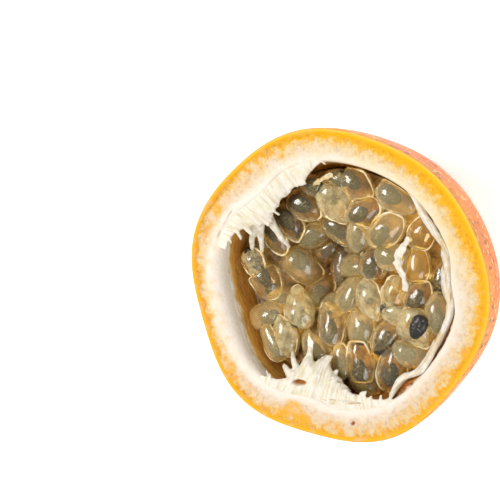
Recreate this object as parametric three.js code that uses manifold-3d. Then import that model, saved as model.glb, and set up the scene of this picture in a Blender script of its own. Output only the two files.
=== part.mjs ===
// Half of a passion fruit with orange skin, lying on its blossom end with the cut face up.
// Millimetres, +Z up. The origin is the centre of the small flat spot that it rests on.
import * as THREE from 'three';
import { mergeVertices } from 'three/addons/utils/BufferGeometryUtils.js';
import Module from 'manifold-3d';

const wasm = await Module();
wasm.setup();

// ---- Driving dimensions ----

const FACE_RADIUS = 33.4; // mean radius of the cut face
const BODY_DEPTH = 36; // depth of the whole rounded body below the cut face
const BODY_POWER = 2.15; // 2 gives an ellipsoid, more gives fuller sides
const HEIGHT = 35.4; // from the flat spot up to the cut face
const OUTLINE_LOBES = [ // the cut is not a true circle: count of crests, swell, azimuth of a crest
  { count: 1, swell: 0.27, azimuth: 200 },
  { count: 2, swell: 0.5, azimuth: -25 },
  { count: 3, swell: 0.3, azimuth: 10 },
  { count: 5, swell: 0.35, azimuth: 12 },
  { count: 6, swell: 0.45, azimuth: -12 },
];
const LOBE_FADE = 0.6; // share of the lobes that is gone at the full depth
const CAVITY_LOBES = 0.6; // share of the outline's lobes that the cavity follows
const SKIN_EDGE_ROUND = 0.5; // rounding where the skin meets the cut face
const CAVITY_RADIUS = 26.3; // mean radius of the hollow in the pith, at the cut face
const CAVITY_DEPTH = 28;
const CAVITY_POWER = 2.3;
const CAVITY_EDGE_ROUND = 0.8;
const LINING_THICKNESS = 0.9;
const LINING_DROP = 0.35; // how far the lining's edge lies below the cut face
const GAP = 0.3; // clearance between neighbouring pieces
const ROOM_DROP = 0.6; // nothing inside the lining stands higher than this below the cut face
const LINING_PEELS = [ // where the lining has come away from the pith, near the cut face
  { azimuth: -52, halfWidth: 13, distance: 2.1 },
  { azimuth: -22, halfWidth: 26, distance: 0.9 },
  { azimuth: -85, halfWidth: 22, distance: 0.6 },
  { azimuth: 35, halfWidth: 22, distance: 0.5 },
];
const PEEL_DEPTH = 11; // the lining lies on the pith again this far down
const SEAM_SWELL = 1.1; // how far the wall stands in at the three seams, where the seed stalks grow
const SEAM_HALF_WIDTH = 17; // degrees
const UNEVENNESS = 0.22; // height of the ripples in the cut pith
const RIPPLES = [{ count: 5, pitch: 3 }, { count: 9, pitch: -2 }]; // waves round the face, mm a radian
const HOLLOW = { x: -6, y: 3, radius: 8, depth: 8 }; // the dip in the middle of the pulp
const CORE_DEPTH = 7.5; // depth of the pulp's body under the seed sacs, outside the dip
const CORE_RISE = 2.5; // how much higher the pulp's body is at the cavity's +X side than on its axis
const SAC_FLATNESS = 0.82; // a seed sac's height over its width

// Seed sacs that show: centre, depth of the centre, length, width, azimuth of the length.
const SACS = [
  [17, -8, 4.6, 10, 8.6, -50], [11.3, -17.2, 5.8, 11.5, 7, 80], [3.6, -17, 6, 11, 6.3, 98],
  [9.6, -11.2, 6.3, 9, 6, 60], [3.2, -9.4, 8, 9, 6.5, 92], [-3.6, -9.2, 7.4, 12, 6.6, 94],
  [-11.4, -6.6, 7.8, 10.5, 6.4, 96], [-14.4, -11.9, 6.8, 10.5, 5.8, 104], [-17.4, -13.9, 7.2, 9.4, 5, 118],
  [-18.9, -0.9, 7.4, 8.6, 7, -60], [-21.5, 3, 6.8, 7.4, 5.4, -62], [-17.6, 9.2, 8.6, 9.5, 5.4, -60],
  [-13.6, 12, 8, 9, 6, -52], [-9.2, 16.2, 6.6, 8.5, 6.4, -20], [-2, 17.4, 6.2, 11, 7.6, -45],
  [-2.2, 10.8, 9.2, 10, 5.8, -24], [-12.2, 2.4, 12, 9.5, 7.6, -45], [-3.4, 2.6, 13.5, 9.5, 6.2, 94],
  [3.2, 21, 5.2, 9.6, 6.4, -40], [4.8, 15.4, 5.4, 8.4, 7.2, 25], [12.2, 18.6, 4.8, 9.4, 6.6, -28],
  [9.8, 11.6, 5.2, 10, 7, 40], [18, 11.6, 5, 8, 6, 68], [16.6, 4.6, 5.4, 8.4, 5.8, 84],
  [6.4, 4.6, 6.4, 7, 6.6, 70], [5.6, -3.6, 7, 9.6, 6.6, -58], [11.2, -1.8, 6.4, 8.4, 6, 80],
  [12, -6.2, 6, 7.2, 6, -30], [17.2, -1.8, 5, 8, 6.4, 62], [-1.2, -17.6, 7.4, 10, 5, 99],
  [-8.4, -3.2, 12.4, 9, 6.4, 70], [1, 8.4, 11.4, 9, 6.4, 10],
];

// The white pads on the three seams and their seed stalks. A pad has its seam's azimuth, its width
// along the wall, its reach from its middle and the depth of its middle. A stalk has the radius from
// the axis, azimuth and depth of its foot, the same of its tip, and its thickness.
const PLACENTAS = [
  {
    name: 'placenta_right', seam: 4, width: 13, reach: 3.4, drop: 7.4,
    stalks: [
      [21.8, 5, 7.2, 14.4, 8, 4.3, 1.6], [14.6, 4, 3.3, 18.2, 34, 3.9, 1.7],
      [14.5, 12, 3.3, 15.4, -9, 4, 1.5],
    ],
  },
  {
    name: 'placenta_upper_left', seam: 133, width: 19, reach: 4, drop: 2.9,
    stalks: [
      [21.4, 141, 3, 15, 153, 6.4, 1.5], [22.8, 145, 3, 20.6, 166, 7.4, 1.6],
      [23.6, 149, 3, 22.4, 166, 6.4, 1.4],
    ],
  },
  {
    name: 'placenta_lower', seam: 256, width: 20, reach: 5.4, drop: 2.9,
    stalks: [
      [23, 241, 2.8, 22.8, 233, 4.6, 1.6], [21.6, 245, 3, 20, 232, 5.5, 1.6],
      [19.4, 252, 2.8, 14.6, 233, 6, 1.4], [20.4, 252, 2.6, 17.8, 245, 2.8, 1.7],
      [20, 264, 2.8, 16.4, 255, 5.2, 1.8], [22.6, 273, 2.6, 20.2, 270, 3.6, 1.5],
    ],
  },
];
const PAD_RADIUS = 23.8; // from the axis to a pad's middle
const PAD_HEIGHT = 4.4;
const STALK_ARCH = 1.1; // rise of a stalk's middle over the line from foot to tip

// ---- Mesh detail ----

const SECTORS = 48;
const SHELL_RINGS = 8;
const FACE_RING_SHARES = [0, 0.5, 1]; // of the way from the skin to the cavity
const CAVITY_RINGS = 7;
const CORE_TOP_RING = 2; // the pulp's body begins at this ring of the cavity
const CORE_RING_SHARES = [0.88, 0.7, 0.52, 0.34, 0.16]; // of the radius, over the body's top
const SAC_SIDES = 8;
const SAC_RINGS = 5;
const PAD_SIDES = 10;
const PAD_RINGS = 6;
const STALK_SIDES = 6;
const STALK_STEPS = 3;
const WELD_DISTANCE = 1e-4;

// ---- Finishes ----

const SHELL_FINISH = { color: 0xf0820f, roughness: 0.5 };
const LINING_FINISH = { color: 0xf1e3cb, roughness: 0.45 };
const PULP_FINISH = { color: 0x8f6a2c, roughness: 0.1 };
const PLACENTA_FINISH = { color: 0xf6f0e4, roughness: 0.4 };

// ---- Helpers ----

const radians = THREE.MathUtils.degToRad;

/** 1 at the middle of a bump, falling smoothly to 0 at its half width, round the axis. */
function bump(azimuth, middle, halfWidth) {
  const turn = ((azimuth - middle + 540) % 360) - 180;
  const share = Math.min(Math.abs(turn) / halfWidth, 1);
  return 0.5 + 0.5 * Math.cos(Math.PI * share);
}

/** Radius, as a share of the rim's, of a rounded body at a share of its whole depth. */
function roundedShare(depthShare, power) {
  return (1 - Math.min(depthShare, 1) ** power) ** (1 / power);
}

/** Swell of the outline at an azimuth, before it fades with depth. */
function lobes(azimuth) {
  return OUTLINE_LOBES.reduce(
    (sum, lobe) => sum + lobe.swell * Math.cos(radians(lobe.count * (azimuth - lobe.azimuth))),
    0,
  );
}

/** How far the three seams stand in from the wall. */
function seamSwell(azimuth) {
  const swell = (placenta) => SEAM_SWELL * bump(azimuth, placenta.seam, SEAM_HALF_WIDTH);
  return PLACENTAS.reduce((sum, placenta) => sum + swell(placenta), 0);
}

/** Gentle waves of the cut face. */
function ripple(azimuth, radius) {
  const waves = RIPPLES.map(({ count, pitch }) => Math.sin(radians(count * azimuth) + radius / pitch));
  return (UNEVENNESS * (waves[0] + waves[1])) / 2;
}

function skinRadius(azimuth, depth) {
  const share = roundedShare(depth / BODY_DEPTH, BODY_POWER);
  return share * (FACE_RADIUS + lobes(azimuth) * (1 - (LOBE_FADE * depth) / BODY_DEPTH));
}

function cavityRadius(azimuth, depth) {
  const share = roundedShare(depth / CAVITY_DEPTH, CAVITY_POWER);
  return share * (CAVITY_RADIUS + CAVITY_LOBES * lobes(azimuth) - seamSwell(azimuth));
}

/** Distance from the pith to the lining. */
function peel(azimuth, depth) {
  const fade = Math.max(1 - depth / PEEL_DEPTH, 0);
  const away = LINING_PEELS.map((p) => p.distance * bump(azimuth, p.azimuth, p.halfWidth));
  return GAP + Math.max(...away) * fade;
}

/** Outer surface of a bowl that lies inside the cavity, a given distance in from the pith. */
function bowlPoint(azimuth, share, inset) {
  const angle = (share * Math.PI) / 2;
  const depth = (CAVITY_DEPTH - inset) * Math.sin(angle);
  const wall = cavityRadius(azimuth, 0) - inset - (peel(azimuth, depth) - GAP);
  const radius = wall * roundedShare(depth / (CAVITY_DEPTH - inset), CAVITY_POWER);
  return [azimuth, radius, HEIGHT - depth];
}

/**
 * A closed body from rings of points, given as functions from azimuth to [azimuth, radius, height],
 * between a bottom and a top point on the axis.
 */
function ringBody(rings, firstHeight, lastHeight) {
  const points = [[0, 0, firstHeight]];
  const faces = [];
  for (const ring of rings) {
    for (let i = 0; i < SECTORS; i += 1) {
      const [azimuth, radius, height] = ring((360 * i) / SECTORS);
      points.push([radius * Math.cos(radians(azimuth)), radius * Math.sin(radians(azimuth)), height]);
    }
  }
  points.push([0, 0, lastHeight]);
  const at = (ring, i) => 1 + ring * SECTORS + (i % SECTORS);
  const last = points.length - 1;
  for (let i = 0; i < SECTORS; i += 1) {
    faces.push(0, at(0, i + 1), at(0, i));
    for (let r = 0; r + 1 < rings.length; r += 1) {
      faces.push(at(r, i), at(r, i + 1), at(r + 1, i + 1));
      faces.push(at(r, i), at(r + 1, i + 1), at(r + 1, i));
    }
    faces.push(at(rings.length - 1, i), at(rings.length - 1, i + 1), last);
  }
  const geometry = new THREE.BufferGeometry();
  geometry.setAttribute('position', new THREE.Float32BufferAttribute(points.flat(), 3));
  geometry.setIndex(faces);
  return geometry;
}

function toSolid(geometry) {
  const bare = geometry.clone();
  bare.deleteAttribute('normal');
  bare.deleteAttribute('uv');
  const merged = mergeVertices(bare, WELD_DISTANCE);
  return new wasm.Manifold(new wasm.Mesh({
    numProp: 3,
    vertProperties: new Float32Array(merged.attributes.position.array),
    triVerts: new Uint32Array(merged.index.array),
  }));
}

function toGeometry(solid) {
  const mesh = solid.getMesh();
  const geometry = new THREE.BufferGeometry();
  geometry.setAttribute('position', new THREE.BufferAttribute(mesh.vertProperties, 3));
  geometry.setIndex(new THREE.BufferAttribute(mesh.triVerts, 1));
  return geometry;
}

function union(solids) {
  return solids.reduce((joined, solid) => joined.add(solid));
}

const steps = (count) => Array.from({ length: count }, (_, i) => i);

// ---- Shell: the thick spongy pith with the orange skin as its outer surface ----

function shellGeometry() {
  const flatShare = HEIGHT / BODY_DEPTH;
  const outer = steps(SHELL_RINGS).map((i) => (azimuth) => {
    const angle = (1 - i / SHELL_RINGS) * Math.asin(flatShare);
    const depth = BODY_DEPTH * Math.sin(angle) + SKIN_EDGE_ROUND * (1 - Math.sin(angle) / flatShare);
    return [azimuth, skinRadius(azimuth, Math.min(depth, HEIGHT)), HEIGHT - Math.min(depth, HEIGHT)];
  });
  const faceRing = (share) => (azimuth) => {
    const outside = skinRadius(azimuth, 0) - SKIN_EDGE_ROUND;
    const inside = cavityRadius(azimuth, 0) + CAVITY_EDGE_ROUND;
    const radius = outside + (inside - outside) * share;
    return [azimuth, radius, HEIGHT + ripple(azimuth, radius) - UNEVENNESS];
  };
  const rim = (azimuth) => [azimuth, skinRadius(azimuth, 0), HEIGHT - SKIN_EDGE_ROUND];
  const cavity = steps(CAVITY_RINGS).map((i) => (azimuth) => {
    const depth = CAVITY_DEPTH * Math.sin((i / CAVITY_RINGS) * (Math.PI / 2));
    const below = Math.max(depth, CAVITY_EDGE_ROUND);
    return [azimuth, cavityRadius(azimuth, below), HEIGHT - below];
  });
  const rings = [...outer, rim, ...FACE_RING_SHARES.map(faceRing), ...cavity];
  return ringBody(rings, 0, HEIGHT - CAVITY_DEPTH);
}

// ---- Lining: the thin tough membrane between the pith and the pulp ----

function liningGeometry() {
  const inner = GAP + LINING_THICKNESS;
  const edge = LINING_DROP / CAVITY_DEPTH;
  const shares = steps(CAVITY_RINGS).map((i) => edge + (1 - edge) * (i / CAVITY_RINGS));
  const outside = [...shares].reverse().map((share) => (azimuth) => bowlPoint(azimuth, share, GAP));
  const inside = shares.map((share) => (azimuth) => bowlPoint(azimuth, share, inner));
  return ringBody([...outside, ...inside], HEIGHT - CAVITY_DEPTH + GAP, HEIGHT - CAVITY_DEPTH + inner);
}

// ---- The room inside the lining, which holds the pulp and the seed stalks ----

function roomSolid(topDepth) {
  const inset = 2 * GAP + LINING_THICKNESS;
  const shares = steps(CAVITY_RINGS).map((i) => i / CAVITY_RINGS).reverse();
  const wall = shares.map((share) => (azimuth) => {
    const [, radius, height] = bowlPoint(azimuth, share, inset);
    return [azimuth, radius, Math.min(height, HEIGHT - topDepth)];
  });
  return toSolid(ringBody(wall, HEIGHT - CAVITY_DEPTH + inset, HEIGHT - topDepth));
}

// ---- Placentas: the white pads on the three seams, with the stalks that hold the seed sacs ----

function polarPoint(radius, azimuth, depth) {
  const x = radius * Math.cos(radians(azimuth));
  const y = radius * Math.sin(radians(azimuth));
  return new THREE.Vector3(x, y, HEIGHT - depth);
}

/** A cord of even thickness along an arched line. */
function stalkSolid([footRadius, footAzimuth, footDepth, tipRadius, tipAzimuth, tipDepth, width], grow) {
  const foot = polarPoint(footRadius, footAzimuth, footDepth);
  const tip = polarPoint(tipRadius, tipAzimuth, tipDepth);
  const middle = foot.clone().add(tip).multiplyScalar(0.5);
  middle.z += STALK_ARCH;
  const path = new THREE.QuadraticBezierCurve3(foot, middle, tip);
  const half = width / 2 + grow;
  const section = new THREE.Shape(steps(STALK_SIDES).map((i) => {
    const angle = (i / STALK_SIDES) * 2 * Math.PI;
    return new THREE.Vector2(half * Math.cos(angle), half * Math.sin(angle));
  }));
  return toSolid(new THREE.ExtrudeGeometry(section, { steps: STALK_STEPS, extrudePath: path }));
}

function padSolid({ seam, width, reach, drop }, grow) {
  const pad = new THREE.SphereGeometry(1, PAD_SIDES, PAD_RINGS);
  pad.scale(reach + grow, width / 2 + grow, PAD_HEIGHT / 2 + grow);
  pad.rotateZ(radians(seam));
  const middle = polarPoint(PAD_RADIUS, seam, drop);
  pad.translate(middle.x, middle.y, middle.z);
  return toSolid(pad);
}

function placentaSolid(placenta, grow) {
  return union([padSolid(placenta, grow), ...placenta.stalks.map((stalk) => stalkSolid(stalk, grow))]);
}

// ---- Pulp: the heap of juicy seed sacs, one solid out to its uneven outline ----

/** Depth of the pulp's body under the seed sacs. */
function coreDepth(x, y) {
  const off = Math.hypot(x - HOLLOW.x, y - HOLLOW.y) / HOLLOW.radius;
  return CORE_DEPTH + HOLLOW.depth * Math.exp(-off * off) - (CORE_RISE * x) / CAVITY_RADIUS;
}

function coreSolid() {
  const inset = 2 * GAP + LINING_THICKNESS;
  const wallRings = steps(CAVITY_RINGS).slice(CORE_TOP_RING).reverse();
  const wall = wallRings.map((i) => (azimuth) => bowlPoint(azimuth, i / CAVITY_RINGS, inset));
  const top = CORE_RING_SHARES.map((share) => (azimuth) => {
    const radius = share * bowlPoint(azimuth, CORE_TOP_RING / CAVITY_RINGS, inset)[1];
    const x = radius * Math.cos(radians(azimuth));
    const y = radius * Math.sin(radians(azimuth));
    return [azimuth, radius, HEIGHT - coreDepth(x, y)];
  });
  return toSolid(ringBody([...wall, ...top], HEIGHT - CAVITY_DEPTH + inset, HEIGHT - coreDepth(0, 0)));
}

function sacSolid([x, y, depth, length, width, azimuth]) {
  const sac = new THREE.SphereGeometry(1, SAC_SIDES, SAC_RINGS);
  sac.rotateZ(Math.PI / 2);
  sac.scale(length / 2, width / 2, (width / 2) * SAC_FLATNESS);
  sac.rotateZ(radians(azimuth));
  sac.translate(x, y, HEIGHT - depth);
  return toSolid(sac);
}

function pulpSolid() {
  const heap = union([coreSolid(), ...SACS.map(sacSolid)]).intersect(roomSolid(ROOM_DROP));
  return PLACENTAS.reduce((pulp, placenta) => pulp.subtract(placentaSolid(placenta, GAP)), heap);
}

// ---- The half fruit ----

function piece(name, geometry, finish) {
  const mesh = new THREE.Mesh(geometry, new THREE.MeshStandardMaterial({ ...finish, metalness: 0 }));
  mesh.name = name;
  return mesh;
}

const fruit = new THREE.Group();
fruit.add(piece('shell', shellGeometry(), SHELL_FINISH));
fruit.add(piece('lining', liningGeometry(), LINING_FINISH));
fruit.add(piece('pulp', toGeometry(pulpSolid()), PULP_FINISH));
PLACENTAS.forEach((placenta) => {
  const solid = placentaSolid(placenta, 0).intersect(roomSolid(ROOM_DROP));
  fruit.add(piece(placenta.name, toGeometry(solid), PLACENTA_FINISH));
});

export default fruit;
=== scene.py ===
"""Looks of the passion fruit half: skin, spongy pith, lining, seed sacs with seeds, and seed stalks.

Shapes are worked out in millimetres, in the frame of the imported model: +Z up, the origin under the
flat spot that the half rests on. They are scaled to metres when a mesh is made.
"""
import math

import bpy
import numpy as np
from mathutils import Matrix, Vector


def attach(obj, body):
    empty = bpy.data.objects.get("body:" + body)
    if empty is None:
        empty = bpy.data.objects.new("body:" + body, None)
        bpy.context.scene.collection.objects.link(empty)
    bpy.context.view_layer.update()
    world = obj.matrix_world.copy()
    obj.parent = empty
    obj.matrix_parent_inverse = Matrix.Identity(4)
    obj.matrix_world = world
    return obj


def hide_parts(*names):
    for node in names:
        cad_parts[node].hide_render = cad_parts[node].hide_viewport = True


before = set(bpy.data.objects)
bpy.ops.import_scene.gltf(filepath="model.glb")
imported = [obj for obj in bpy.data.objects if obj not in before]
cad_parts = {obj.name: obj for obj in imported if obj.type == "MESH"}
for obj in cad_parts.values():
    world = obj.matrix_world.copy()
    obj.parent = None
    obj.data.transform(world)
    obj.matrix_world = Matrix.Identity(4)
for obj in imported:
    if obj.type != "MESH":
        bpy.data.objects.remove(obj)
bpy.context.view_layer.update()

MM = 0.001

# ---- Driving dimensions, the same as the model's ----

FACE_RADIUS = 33.4
BODY_DEPTH = 36.0
BODY_POWER = 2.15
HEIGHT = 35.4
OUTLINE_LOBES = [(1, 0.27, 200), (2, 0.5, -25), (3, 0.3, 10), (5, 0.35, 12), (6, 0.45, -12)]
CAVITY_RADIUS = 26.3
CAVITY_DEPTH = 28.0
CAVITY_POWER = 2.3
LINING_THICKNESS = 0.8
GAP = 0.12
LINING_PEELS = [(-52, 13, 2.1), (-22, 26, 0.9), (-85, 22, 0.6), (35, 22, 0.5)]
PEEL_DEPTH = 11.0
SEAMS = {"placenta_right": 4, "placenta_upper_left": 133, "placenta_lower": 256}
SEAM_SWELL = 1.1
SEAM_HALF_WIDTH = 17
HOLLOW_X, HOLLOW_Y, HOLLOW_RADIUS, HOLLOW_DEPTH = -6.0, 3.0, 8.0, 8.0
CORE_DEPTH = 7.5

# Seed sacs that show: x, y, depth of the centre, length, width, azimuth of the length.
SACS = [
    (17, -8, 4.6, 10, 8.6, -50), (11.3, -17.2, 5.8, 11.5, 7, 80), (3.6, -17, 6, 11, 6.3, 98),
    (9.6, -11.2, 6.3, 9, 6, 60), (3.2, -9.4, 8, 9, 6.5, 92), (-3.6, -9.2, 7.4, 12, 6.6, 94),
    (-11.4, -6.6, 7.8, 10.5, 6.4, 96), (-14.4, -11.9, 6.8, 10.5, 5.8, 104), (-17.4, -13.9, 7.2, 9.4, 5, 118),
    (-18.9, -0.9, 7.4, 8.6, 7, -60), (-21.5, 3, 6.8, 7.4, 5.4, -62), (-17.6, 9.2, 8.6, 9.5, 5.4, -60),
    (-13.6, 12, 8, 9, 6, -52), (-9.2, 16.2, 6.6, 8.5, 6.4, -20), (-2, 17.4, 6.2, 11, 7.6, -45),
    (-2.2, 10.8, 9.2, 10, 5.8, -24), (-12.2, 2.4, 12, 9.5, 7.6, -45), (-3.4, 2.6, 13.5, 9.5, 6.2, 94),
    (3.2, 21, 5.2, 9.6, 6.4, -40), (4.8, 15.4, 5.4, 8.4, 7.2, 25), (12.2, 18.6, 4.8, 9.4, 6.6, -28),
    (9.8, 11.6, 5.2, 10, 7, 40), (18, 11.6, 5, 8, 6, 68), (16.6, 4.6, 5.4, 8.4, 5.8, 84),
    (6.4, 4.6, 6.4, 7, 6.6, 70), (5.6, -3.6, 7, 9.6, 6.6, -58), (11.2, -1.8, 6.4, 8.4, 6, 80),
    (12, -6.2, 6, 7.2, 6, -30), (17.2, -1.8, 5, 8, 6.4, 62), (-1.2, -17.6, 7.4, 10, 5, 99),
    (-8.4, -3.2, 12.4, 9, 6.4, 70), (1, 8.4, 11.4, 9, 6.4, 10),
]
TOP_SACS = [  # small ones in the crevice between the heap and the wall, of the same kind
    (-7.4, 20.8, 4.9, 6.6, 4.4, 160), (-1.4, 22.4, 4.8, 5.6, 3.8, 175), (-21.6, 9.4, 9.6, 7, 4.6, -60),
    (-8.6, -19.2, 9, 7, 4.6, 20), (21.6, 2.4, 6.2, 6.4, 4.6, 84),
]
SEEDLESS = {22, 23, 26}
CRUMPLED = {0, 6, 7, 10, 14, 25, 26, 27}
LITTLE_CRUMPLE = 0.35  # of the other sacs
CUT_SAC = 0
SAC_FLATNESS = 0.84
SAC_CLEARANCE = 0.05
SAC_PEAR = 0.16  # how much fatter a sac is at its blunt end
SAC_SQUARE = 0.88  # below 1, fuller than an ellipsoid
SAC_GROWTH = 1.06  # the jelly bulges this much past the model's sacs before neighbours press on it
# Layers of unseen sacs: depth under the core's top, least spacing and tries.
FILL_LAYERS = [(-1.4, 5.1, 700), (0.8, 5.0, 600), (4.2, 6.3, 500)]
FILL_HALF = np.array([4.7, 3.3, 2.9])
FILL_MARGIN = 0.8 * FILL_HALF[2]  # their centres stay this far inside the lining
PRESS_SHARE = 0.85  # how fully a sac gives way to a neighbour

# ---- Fineness ----

SHELL_SECTORS = 480
LINING_SECTORS = 360
FINE_SAC = (40, 26)
PLAIN_SAC = (28, 18)


# ---- Numbers and noise ----

def smooth(low, high, value):
    """0 at low, 1 at high, with a smooth rise between."""
    share = np.clip((value - low) / (high - low), 0, 1)
    return share * share * (3 - 2 * share)


def hashed(ix, iy, iz, seed):
    """A repeatable number from 0 to 1 at each whole-number place."""
    mix = (ix * 374761393 + iy * 668265263 + iz * 2246822519 + seed * 3266489917) & 0xFFFFFFFF
    mix = ((mix ^ (mix >> 13)) * 1274126177) & 0xFFFFFFFF
    return (mix ^ (mix >> 16)) / 4294967296.0


def noise(points, size, seed):
    """Smooth noise from -1 to 1 whose lumps are about size across."""
    scaled = np.asarray(points, float) / size + 1000.0
    base = np.floor(scaled).astype(np.int64)
    part = scaled - base
    part = part * part * (3 - 2 * part)
    total = 0.0
    for corner in range(8):
        step = np.array([corner & 1, corner >> 1 & 1, corner >> 2 & 1])
        weight = np.prod(np.where(step, part, 1 - part), axis=-1)
        total = total + weight * hashed(*np.moveaxis(base + step, -1, 0), seed)
    return 2 * total - 1


def layered_noise(points, size, layers, seed):
    total = sum(noise(points, size / 2**i, seed + i) / 2**i for i in range(layers))
    return total / (2 - 2 / 2**layers)


# ---- The fruit's own forms ----

def bump(azimuth, middle, half_width):
    """1 at the middle azimuth, falling smoothly to 0 half a width away."""
    turn = (azimuth - middle + 540) % 360 - 180
    return 0.5 + 0.5 * np.cos(np.pi * np.clip(np.abs(turn) / half_width, 0, 1))


def rounded_share(share, power):
    return (1 - np.clip(share, 0, 1) ** power) ** (1 / power)


def lobes(azimuth):
    return sum(swell * np.cos(np.radians(count * (azimuth - crest))) for count, swell, crest in OUTLINE_LOBES)


def seam_swell(azimuth):
    """How far the wall stands in at the three seams."""
    return sum(SEAM_SWELL * bump(azimuth, seam, SEAM_HALF_WIDTH) for seam in SEAMS.values())


def skin_radius(azimuth, depth):
    uneven_radius = FACE_RADIUS + lobes(azimuth) * (1 - 0.6 * depth / BODY_DEPTH)
    return rounded_share(depth / BODY_DEPTH, BODY_POWER) * uneven_radius


def cavity_radius(azimuth, depth):
    uneven_radius = CAVITY_RADIUS + 0.6 * lobes(azimuth) - seam_swell(azimuth)
    return rounded_share(depth / CAVITY_DEPTH, CAVITY_POWER) * uneven_radius


def peel(azimuth, depth):
    """Distance from the pith to the lining."""
    away = np.max([far * bump(azimuth, middle, half) for middle, half, far in LINING_PEELS], axis=0)
    return away * np.clip(1 - depth / PEEL_DEPTH, 0, 1)


def bowl_radius(azimuth, depth, inset):
    wall = cavity_radius(azimuth, 0) - inset - peel(azimuth, depth)
    return wall * rounded_share(depth / (CAVITY_DEPTH - inset), CAVITY_POWER)


def core_depth(x, y):
    """Depth of the pulp's body under the seed sacs that show."""
    off = np.hypot(x - HOLLOW_X, y - HOLLOW_Y) / HOLLOW_RADIUS
    return CORE_DEPTH + HOLLOW_DEPTH * np.exp(-off * off) - 2.5 * x / CAVITY_RADIUS


# ---- Meshes ----

def ring_points(azimuth, radius, height):
    angle = np.radians(azimuth)
    return np.stack(np.broadcast_arrays(radius * np.cos(angle), radius * np.sin(angle), height), -1)


def ring_faces(rings, sectors):
    """Faces over rings of points between a first and a last point on the axis, facing out."""
    column = np.arange(sectors)
    right = (column + 1) % sectors
    quads = []
    for ring in range(rings - 1):
        low, high = 1 + ring * sectors, 1 + (ring + 1) * sectors
        quads.append(np.stack([low + column, low + right, high + right, high + column], -1))
    last = 1 + rings * sectors
    end = 1 + (rings - 1) * sectors
    faces = [tuple(face) for face in np.concatenate(quads).tolist()]
    faces += [(0, 1 + int(right[i]), 1 + int(i)) for i in column]
    faces += [(end + int(i), end + int(right[i]), last) for i in column]
    return faces


def tube(first, rings, last):
    """Points and faces of a closed body through rings of points, from a first to a last point."""
    return np.concatenate([[first], *rings, [last]]), ring_faces(len(rings), len(rings[0]))


def capped(first, values, last):
    """Values at the points of a tube."""
    return np.concatenate([[first], values, [last]])


def finish_mesh(mesh, fields):
    """Smooth shading, and values at each point for the materials to read."""
    for field, values in fields.items():
        values = np.asarray(values, np.float32)
        kind, key = ("FLOAT_VECTOR", "vector") if values.ndim == 2 else ("FLOAT", "value")
        mesh.attributes.new(field, kind, "POINT").data.foreach_set(key, values.ravel())
    mesh.polygons.foreach_set("use_smooth", [True] * len(mesh.polygons))
    mesh.update()


def make_piece(name, points, faces, material, replaced, fields=None):
    """A piece riding on the fruit. Points are in millimetres; fields are values at each point."""
    mesh = bpy.data.meshes.new(name)
    mesh.from_pydata((np.asarray(points) * MM).tolist(), [], faces)
    mesh.materials.append(material)
    finish_mesh(mesh, fields or {})
    piece = bpy.data.objects.new(name, mesh)
    bpy.context.scene.collection.objects.link(piece)
    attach(piece, "root")
    if replaced:
        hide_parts(*replaced)
    return piece


# ---- Materials ----

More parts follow.
